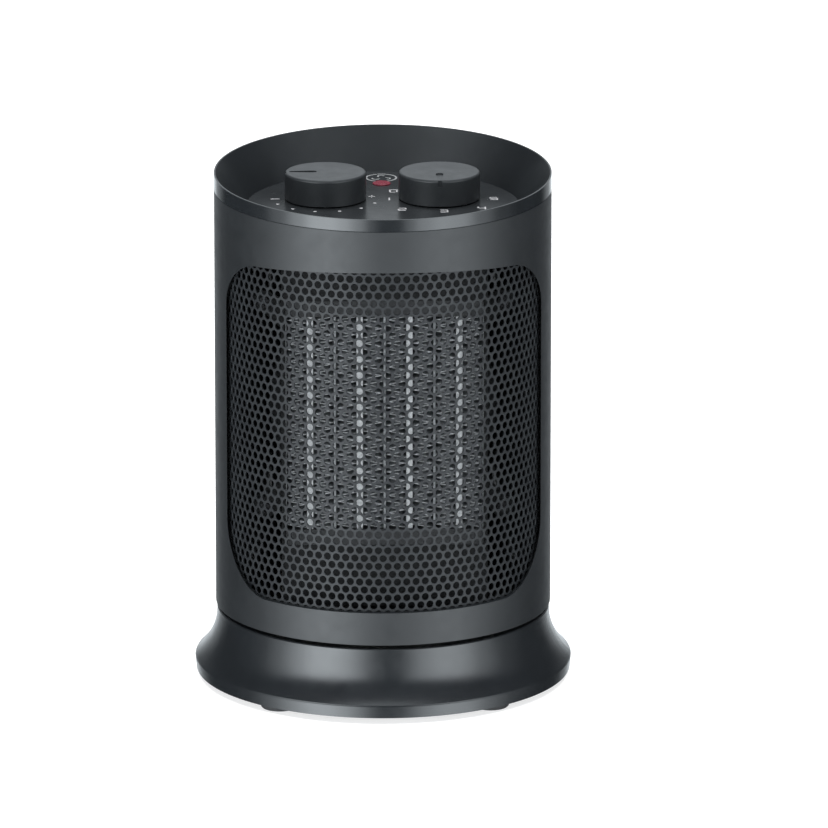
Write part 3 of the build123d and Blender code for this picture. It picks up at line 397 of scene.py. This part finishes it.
def punched_cell(sheet, arc, low, high):
    """One brick of the sheet with a punched hole whose outer edge is slightly rounded over."""
    half = HOLE_PITCH / 2
    middle = (low + high) / 2
    frame_points = [
        (arc + half, middle), (arc + half, high), (arc, high), (arc - half, high),
        (arc - half, middle), (arc - half, low), (arc, low), (arc + half, low),
    ]
    wide = ring_points(arc, middle, HOLE_RADIUS + EDGE_BREAK)
    hole = ring_points(arc, middle, HOLE_RADIUS)
    per_side = HOLE_SIDES // 8
    for k in range(8):
        start, end = frame_points[k], frame_points[(k + 1) % 8]
        fan = [(k * per_side + j) % HOLE_SIDES for j in range(per_side, -1, -1)]
        sheet.outer([start, end] + [wide[i] for i in fan])
        sheet.inner([start, end] + [hole[i] for i in fan])
    for k in range(HOLE_SIDES):
        n = (k + 1) % HOLE_SIDES
        sheet.faces.append([
            sheet.at(*wide[k], 0.0), sheet.at(*wide[n], 0.0),
            sheet.at(*hole[n], EDGE_BREAK), sheet.at(*hole[k], EDGE_BREAK),
        ])
        sheet.faces.append([
            sheet.at(*hole[k], EDGE_BREAK), sheet.at(*hole[n], EDGE_BREAK),
            sheet.at(*hole[n], GRILLE_SHEET), sheet.at(*hole[k], GRILLE_SHEET),
        ])


def plain_cell(sheet, left, right, low, high):
    """A short unpunched end of a row, with the same middle points as its neighbours."""
    middle = (low + high) / 2
    corners = [(left, low), (right, low), (right, middle), (right, high), (left, high), (left, middle)]
    sheet.outer(corners)
    sheet.inner(corners)


def grille_piece(name, first_row, last_row, low_edge, high_edge):
    """Rows first_row..last_row of the perforated sheet, with the plain border beyond them."""
    sheet = SheetMesh()
    half = HOLE_PITCH / 2
    reach = GRILLE_RADIUS * math.acos(-GRILLE_REAR_Y / GRILLE_RADIUS)
    steps = int((reach - SIDE_BORDER) // half)
    left, right = ARC_PHASE - steps * half, ARC_PHASE + steps * half
    edges = [ROW_PHASE + (row - 0.5) * ROW_PITCH for row in range(first_row, last_row + 2)]
    for number, row in enumerate(range(first_row, last_row + 1)):
        low, high = edges[number], edges[number + 1]
        arc = left + (half if (steps + row) % 2 else HOLE_PITCH)
        if (steps + row) % 2 == 0:
            plain_cell(sheet, left, left + half, low, high)
        while arc + half <= right + TINY:
            punched_cell(sheet, arc, low, high)
            arc += HOLE_PITCH
        if arc - half < right - TINY:
            plain_cell(sheet, arc - half, right, low, high)
    columns = [left + k * half for k in range(2 * steps + 1)]
    ends = [low_edge] + edges + [high_edge]
    for low, high in ((low_edge, edges[0]), (edges[-1], high_edge)):
        if high - low > TINY:
            for a, b in zip(columns, columns[1:]):
                sheet.outer([(a, low), (b, low), (b, high), (a, high)])
                sheet.inner([(a, low), (b, low), (b, high), (a, high)])
    for side, inward in ((-reach, left), (reach, right)):
        heights = []
        for a, b in zip(ends, ends[1:]):
            if b - a > TINY:
                heights.append(a)
                if a in edges and b in edges:
                    heights.append((a + b) / 2)
        heights.append(high_edge)
        for a, b in zip(heights, heights[1:]):
            near, far = (side, inward) if side < inward else (inward, side)
            sheet.outer([(near, a), (far, a), (far, b), (near, b)])
            sheet.inner([(near, a), (far, a), (far, b), (near, b)])
            if side > 0:
                sheet.rim((side, a), (side, b))
            else:
                sheet.rim((side, b), (side, a))
    full = [-reach] + columns + [reach]
    for a, b in zip(full, full[1:]):
        sheet.rim((a, low_edge), (b, low_edge))
        sheet.rim((b, high_edge), (a, high_edge))
    mesh = bpy.data.meshes.new(name)
    mesh.from_pydata(sheet.points, [], sheet.faces)
    mesh.validate()
    mesh.shade_smooth()
    mesh.set_sharp_from_angle(angle=math.radians(SHARP_ANGLE))
    piece = bpy.data.objects.new(name, mesh)
    bpy.context.scene.collection.objects.link(piece)
    mesh.materials.append(MATERIALS["grille_metal"])
    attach(piece, "tower")
    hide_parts("front_grille")


grille_piece("grille_sheet_upper", SPLIT_ROW, TOP_ROW, SPLIT_HEIGHT, GRILLE_TOP)
grille_piece("grille_sheet_lower", BOTTOM_ROW, SPLIT_ROW - 1, GRILLE_BOTTOM, SPLIT_HEIGHT)


# Printed marks on the control panel

PANEL_TOP = 236.5
INK = 0.06
KNOB_X = 27.8
KNOB_Y = 12.5


class Print:
    """Thin raised ink shapes gathered into one mesh."""

    def __init__(self):
        self.points = []
        self.faces = []

    def prism(self, outline):
        """Raises a convex outline, in millimetres and anticlockwise, off the panel."""
        base = len(self.points)
        count = len(outline)
        for height in (PANEL_TOP, PANEL_TOP + INK):
            self.points += [(x * MM, y * MM, height * MM) for x, y in outline]
        self.faces.append(list(range(base + count, base + 2 * count)))
        self.faces.append(list(reversed(range(base, base + count))))
        for k in range(count):
            n = (k + 1) % count
            self.faces.append([base + k, base + n, base + count + n, base + count + k])

    def dot(self, x, y, radius, sides=20):
        step = 2 * math.pi / sides
        self.prism([
            (x + radius * math.cos(k * step), y + radius * math.sin(k * step))
            for k in range(sides)
        ])

    def stroke(self, x, y, x2, y2, width):
        length = math.hypot(x2 - x, y2 - y)
        across = ((y - y2) / length * width / 2, (x2 - x) / length * width / 2)
        self.prism([
            (x - across[0], y - across[1]), (x2 - across[0], y2 - across[1]),
            (x2 + across[0], y2 + across[1]), (x + across[0], y + across[1]),
        ])

    def arc(self, x, y, radius, width, start=0, sweep=360, sides=36):
        for k in range(sides):
            a = math.radians(start + sweep * k / sides)
            b = math.radians(start + sweep * (k + 1) / sides)
            inner, outer = radius - width / 2, radius + width / 2
            self.prism([
                (x + inner * math.cos(a), y + inner * math.sin(a)),
                (x + outer * math.cos(a), y + outer * math.sin(a)),
                (x + outer * math.cos(b), y + outer * math.sin(b)),
                (x + inner * math.cos(b), y + inner * math.sin(b)),
            ])

    def build(self, name, material, body):
        mesh = bpy.data.meshes.new(name)
        mesh.from_pydata(self.points, [], self.faces)
        mesh.validate()
        mesh.materials.append(material)
        piece = bpy.data.objects.new(name, mesh)
        bpy.context.scene.collection.objects.link(piece)
        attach(piece, body)


def round_the_knob(side, angle, radius):
    """A place round a knob, at an angle from its front, positive to the right."""
    turn = math.radians(angle)
    return side * KNOB_X + radius * math.sin(turn), KNOB_Y - radius * math.cos(turn)


INK_WHITE = white_print("ink_white", (0.30, 0.30, 0.31))
INK_GREY = white_print("ink_grey", (0.17, 0.175, 0.18))

# The bars of a seven-bar figure, as corners in half widths and half heights
BARS = {
    "top": (-1, 1, 1, 1), "middle": (-1, 0, 1, 0), "bottom": (-1, -1, 1, -1),
    "upper_left": (-1, 0, -1, 1), "upper_right": (1, 0, 1, 1),
    "lower_left": (-1, -1, -1, 0), "lower_right": (1, -1, 1, 0),
}
FIGURES = (
    ("top", "upper_left", "upper_right", "lower_left", "lower_right", "bottom"),
    ("upper_right", "lower_right"),
    ("top", "upper_right", "middle", "lower_left", "bottom"),
    ("top", "upper_right", "middle", "lower_right", "bottom"),
    ("upper_left", "upper_right", "middle", "lower_right"),
    ("top", "upper_left", "middle", "lower_right", "bottom"),
)


FIGURE_HALF_WIDTH = 1.7
FIGURE_HALF_HEIGHT = 2.3
FIGURE_STROKE = 0.75


def figure(marks, number, x, y):
    for bar in FIGURES[number]:
        left, low, right, high = BARS[bar]
        marks.stroke(
            x + left * FIGURE_HALF_WIDTH, y + low * FIGURE_HALF_HEIGHT,
            x + right * FIGURE_HALF_WIDTH, y + high * FIGURE_HALF_HEIGHT, FIGURE_STROKE,
        )


# Places as an angle from the knob's front and a distance from its axis, in millimetres
DOT_COUNT = 6
DOT_MIDDLE = 1.5
DOT_STEP = 27.2
DOT_DISTANCE = 25.5
DOT_RADIUS = 0.85
MINUS_PLACE = (-90, 24.6)
PLUS_PLACE = (101, 23.0)
FIGURE_PLACES = ((-124, 26.8), (-88, 26.2), (-41, 28.2), (4, 25.2), (46, 28.2), (88, 26.6))


def print_marks():
    """Dots, a minus and a plus round the left knob, and the figures 0 to 5 round the right one."""
    marks = Print()
    for step in range(DOT_COUNT):
        angle = DOT_MIDDLE + DOT_STEP * (step - (DOT_COUNT - 1) / 2)
        marks.dot(*round_the_knob(-1, angle, DOT_DISTANCE), DOT_RADIUS)
    x, y = round_the_knob(-1, *MINUS_PLACE)
    marks.stroke(x - 2.2, y, x + 2.2, y, 0.9)
    x, y = round_the_knob(-1, *PLUS_PLACE)
    marks.stroke(x - 1.6, y, x + 1.6, y, 0.8)
    marks.stroke(x, y - 1.9, x, y + 1.9, 0.8)
    for number, place in enumerate(FIGURE_PLACES):
        figure(marks, number, *round_the_knob(1, *place))
    marks.build("panel_marks", INK_WHITE, "tower")


SYMBOL_Y = 54.0
SYMBOL_RADIUS = 7.4
SYMBOL_STROKE = 0.9
HUB_RADIUS = 1.2
BLADE_REACH = 1.9
BLADE_RADIUS = 1.7
BLADE_STROKE = 0.8


def print_symbol():
    """A ring with three curved fan blades."""
    symbol = Print()
    symbol.arc(0, SYMBOL_Y, SYMBOL_RADIUS, SYMBOL_STROKE)
    for angle in (90, 210, 330):
        turn = math.radians(angle)
        x = (HUB_RADIUS + BLADE_REACH) * math.cos(turn)
        y = SYMBOL_Y + (HUB_RADIUS + BLADE_REACH) * math.sin(turn)
        symbol.arc(x, y, BLADE_RADIUS, BLADE_STROKE, start=angle - 60, sweep=200, sides=14)
    symbol.build("panel_symbol", INK_GREY, "tower")


print_marks()
print_symbol()


# Studio

FLOOR_HALF = 6.0


def floor():
    """A pale sheet of paper that glows faintly, so that the shadow under the base stays light."""
    corners = [(x * FLOOR_HALF, y * FLOOR_HALF, 0) for x, y in ((-1, -1), (1, -1), (1, 1), (-1, 1))]
    mesh = bpy.data.meshes.new("floor")
    mesh.from_pydata(corners, [], [(0, 1, 2, 3)])
    piece = bpy.data.objects.new("floor", mesh)
    bpy.context.scene.collection.objects.link(piece)
    s = Shader("floor_paper", (0.45, 0.45, 0.45), 0.9, Emission_Strength=0.72)
    s.bsdf.inputs["Emission Color"].default_value = (1, 1, 1, 1)
    s.tint(s.noise(60, 3), (0.44, 0.44, 0.44), (0.46, 0.46, 0.46))
    s.bsdf.inputs["Specular IOR Level"].default_value = 0.0
    mesh.materials.append(s.material)
    piece.visible_glossy = False
    piece.visible_shadow = False


def overhead_light():
    """A wide softbox straight above, which lights the tops and the floor but isn't reflected."""
    data = bpy.data.lights.new("overhead", "AREA")
    data.shape = "SQUARE"
    data.size = 3.2
    data.energy = 190
    light = bpy.data.objects.new("overhead", data)
    bpy.context.scene.collection.objects.link(light)
    light.location = (0, 0, 2.54)
    light.visible_glossy = False


floor()
overhead_light()

# Brightness of the two front sources, by azimuth from the front, positive to the right
FRONT = (
    (-180, 0.02), (-108, 0.02), (-92, 0.1), (-76, 0.75), (-60, 2.3), (-48, 3.9), (-36, 4.0), (-27, 3.3),
    (-17, 1.9), (-8, 0.5), (-2, 0.1), (10, 0.1), (18, 1.0), (26, 2.0), (40, 2.7), (54, 2.4), (70, 0.95),
    (88, 0.2), (108, 0.02), (180, 0.02),
)
# Brightness of the backdrop behind the object
BACK = (
    (-180, 1.4), (-166, 1.1), (-154, 0.4), (-136, 0.0), (136, 0.0), (154, 0.45), (166, 1.2), (180, 1.4),
)
STUDIO_TINT = (0.93, 1.0, 1.045)
STUDIO_PEAK = 4.5
# Share of both, and the brightness of the ceiling, by elevation
FRONT_SHARE = ((-90, 0.6), (-60, 0.8), (-35, 1.0), (22, 1.0), (40, 0.0), (90, 0.0))
BACK_SHARE = (
    (-90, 0.05), (-42, 0.1), (-24, 1.0), (-6, 1.0), (10, 0.45), (35, 0.45), (55, 0.0), (90, 0.0),
)
CEILING = ((-90, 0.2), (-50, 0.1), (-30, 0.0), (30, 0.0), (66, 0.1), (78, 1.0), (90, 1.1))


def ramp_node(tree, source, stops, low, high, peak, tint):
    """Eased ramp of tinted levels over low..high degrees, scaled down by peak."""
    made = tree.nodes.new("ShaderNodeValToRGB")
    made.color_ramp.interpolation = "EASE"
    elements = made.color_ramp.elements
    while len(elements) < len(stops):
        elements.new(0.5)
    for element, (angle, level) in zip(elements, stops):
        element.position = (angle - low) / (high - low)
        element.color = (*(level / peak * channel for channel in tint), 1)
    tree.links.new(source, made.inputs["Fac"])
    return made.outputs["Color"]


def degrees_node(tree, source, low, high):
    """Maps an angle in radians from low..high degrees to 0..1."""
    made = tree.nodes.new("ShaderNodeMapRange")
    made.inputs["From Min"].default_value = math.radians(low)
    made.inputs["From Max"].default_value = math.radians(high)
    tree.links.new(source, made.inputs["Value"])
    return made.outputs["Result"]


def math_node(tree, operation, *sources):
    made = tree.nodes.new("ShaderNodeMath")
    made.operation = operation
    for socket, source in zip(made.inputs, sources):
        if isinstance(source, (int, float)):
            socket.default_value = source
        else:
            tree.links.new(source, socket)
    return made.outputs[0]


def multiply_add(tree, a, b, c):
    made = tree.nodes.new("ShaderNodeVectorMath")
    made.operation = "MULTIPLY_ADD"
    for socket, source in zip(made.inputs, (a, b, c)):
        tree.links.new(source, socket)
    return made.outputs[0]


def studio_world():
    """Two broad soft sources in front, dark flags at the sides and a pale backdrop behind."""
    world = bpy.data.worlds.new("studio")
    world.use_nodes = True
    tree = world.node_tree
    link = tree.links.new
    split = tree.nodes.new("ShaderNodeSeparateXYZ")
    link(tree.nodes.new("ShaderNodeTexCoord").outputs["Generated"], split.inputs[0])
    forward = math_node(tree, "MULTIPLY", split.outputs["Y"], -1)
    turn = math_node(tree, "ARCTAN2", split.outputs["X"], forward)
    rise = math_node(tree, "ARCSINE", split.outputs["Z"])
    azimuth = degrees_node(tree, turn, -180, 180)
    front = ramp_node(tree, azimuth, FRONT, -180, 180, STUDIO_PEAK, STUDIO_TINT)
    height = degrees_node(tree, rise, -90, 90)
    front_share = ramp_node(tree, height, FRONT_SHARE, -90, 90, 1.0, (1, 1, 1))
    ceiling = ramp_node(tree, height, CEILING, -90, 90, STUDIO_PEAK, STUDIO_TINT)
    back = ramp_node(tree, azimuth, BACK, -180, 180, STUDIO_PEAK, STUDIO_TINT)
    back_share = ramp_node(tree, height, BACK_SHARE, -90, 90, 1.0, (1, 1, 1))
    total = multiply_add(tree, front, front_share, multiply_add(tree, back, back_share, ceiling))
    around = tree.nodes.new("ShaderNodeBackground")
    around.inputs["Strength"].default_value = STUDIO_PEAK
    link(total, around.inputs["Color"])
    backdrop = tree.nodes.new("ShaderNodeBackground")
    backdrop.inputs["Color"].default_value = (1, 1, 1, 1)
    mix = tree.nodes.new("ShaderNodeMixShader")
    link(tree.nodes.new("ShaderNodeLightPath").outputs["Is Camera Ray"], mix.inputs["Fac"])
    link(around.outputs[0], mix.inputs[1])
    link(backdrop.outputs[0], mix.inputs[2])
    output = next(n for n in tree.nodes if n.type == "OUTPUT_WORLD")
    link(mix.outputs[0], output.inputs["Surface"])
    bpy.context.scene.world = world


studio_world()
bpy.context.scene.view_settings.view_transform = "Standard"
bpy.context.scene.view_settings.look = "None"
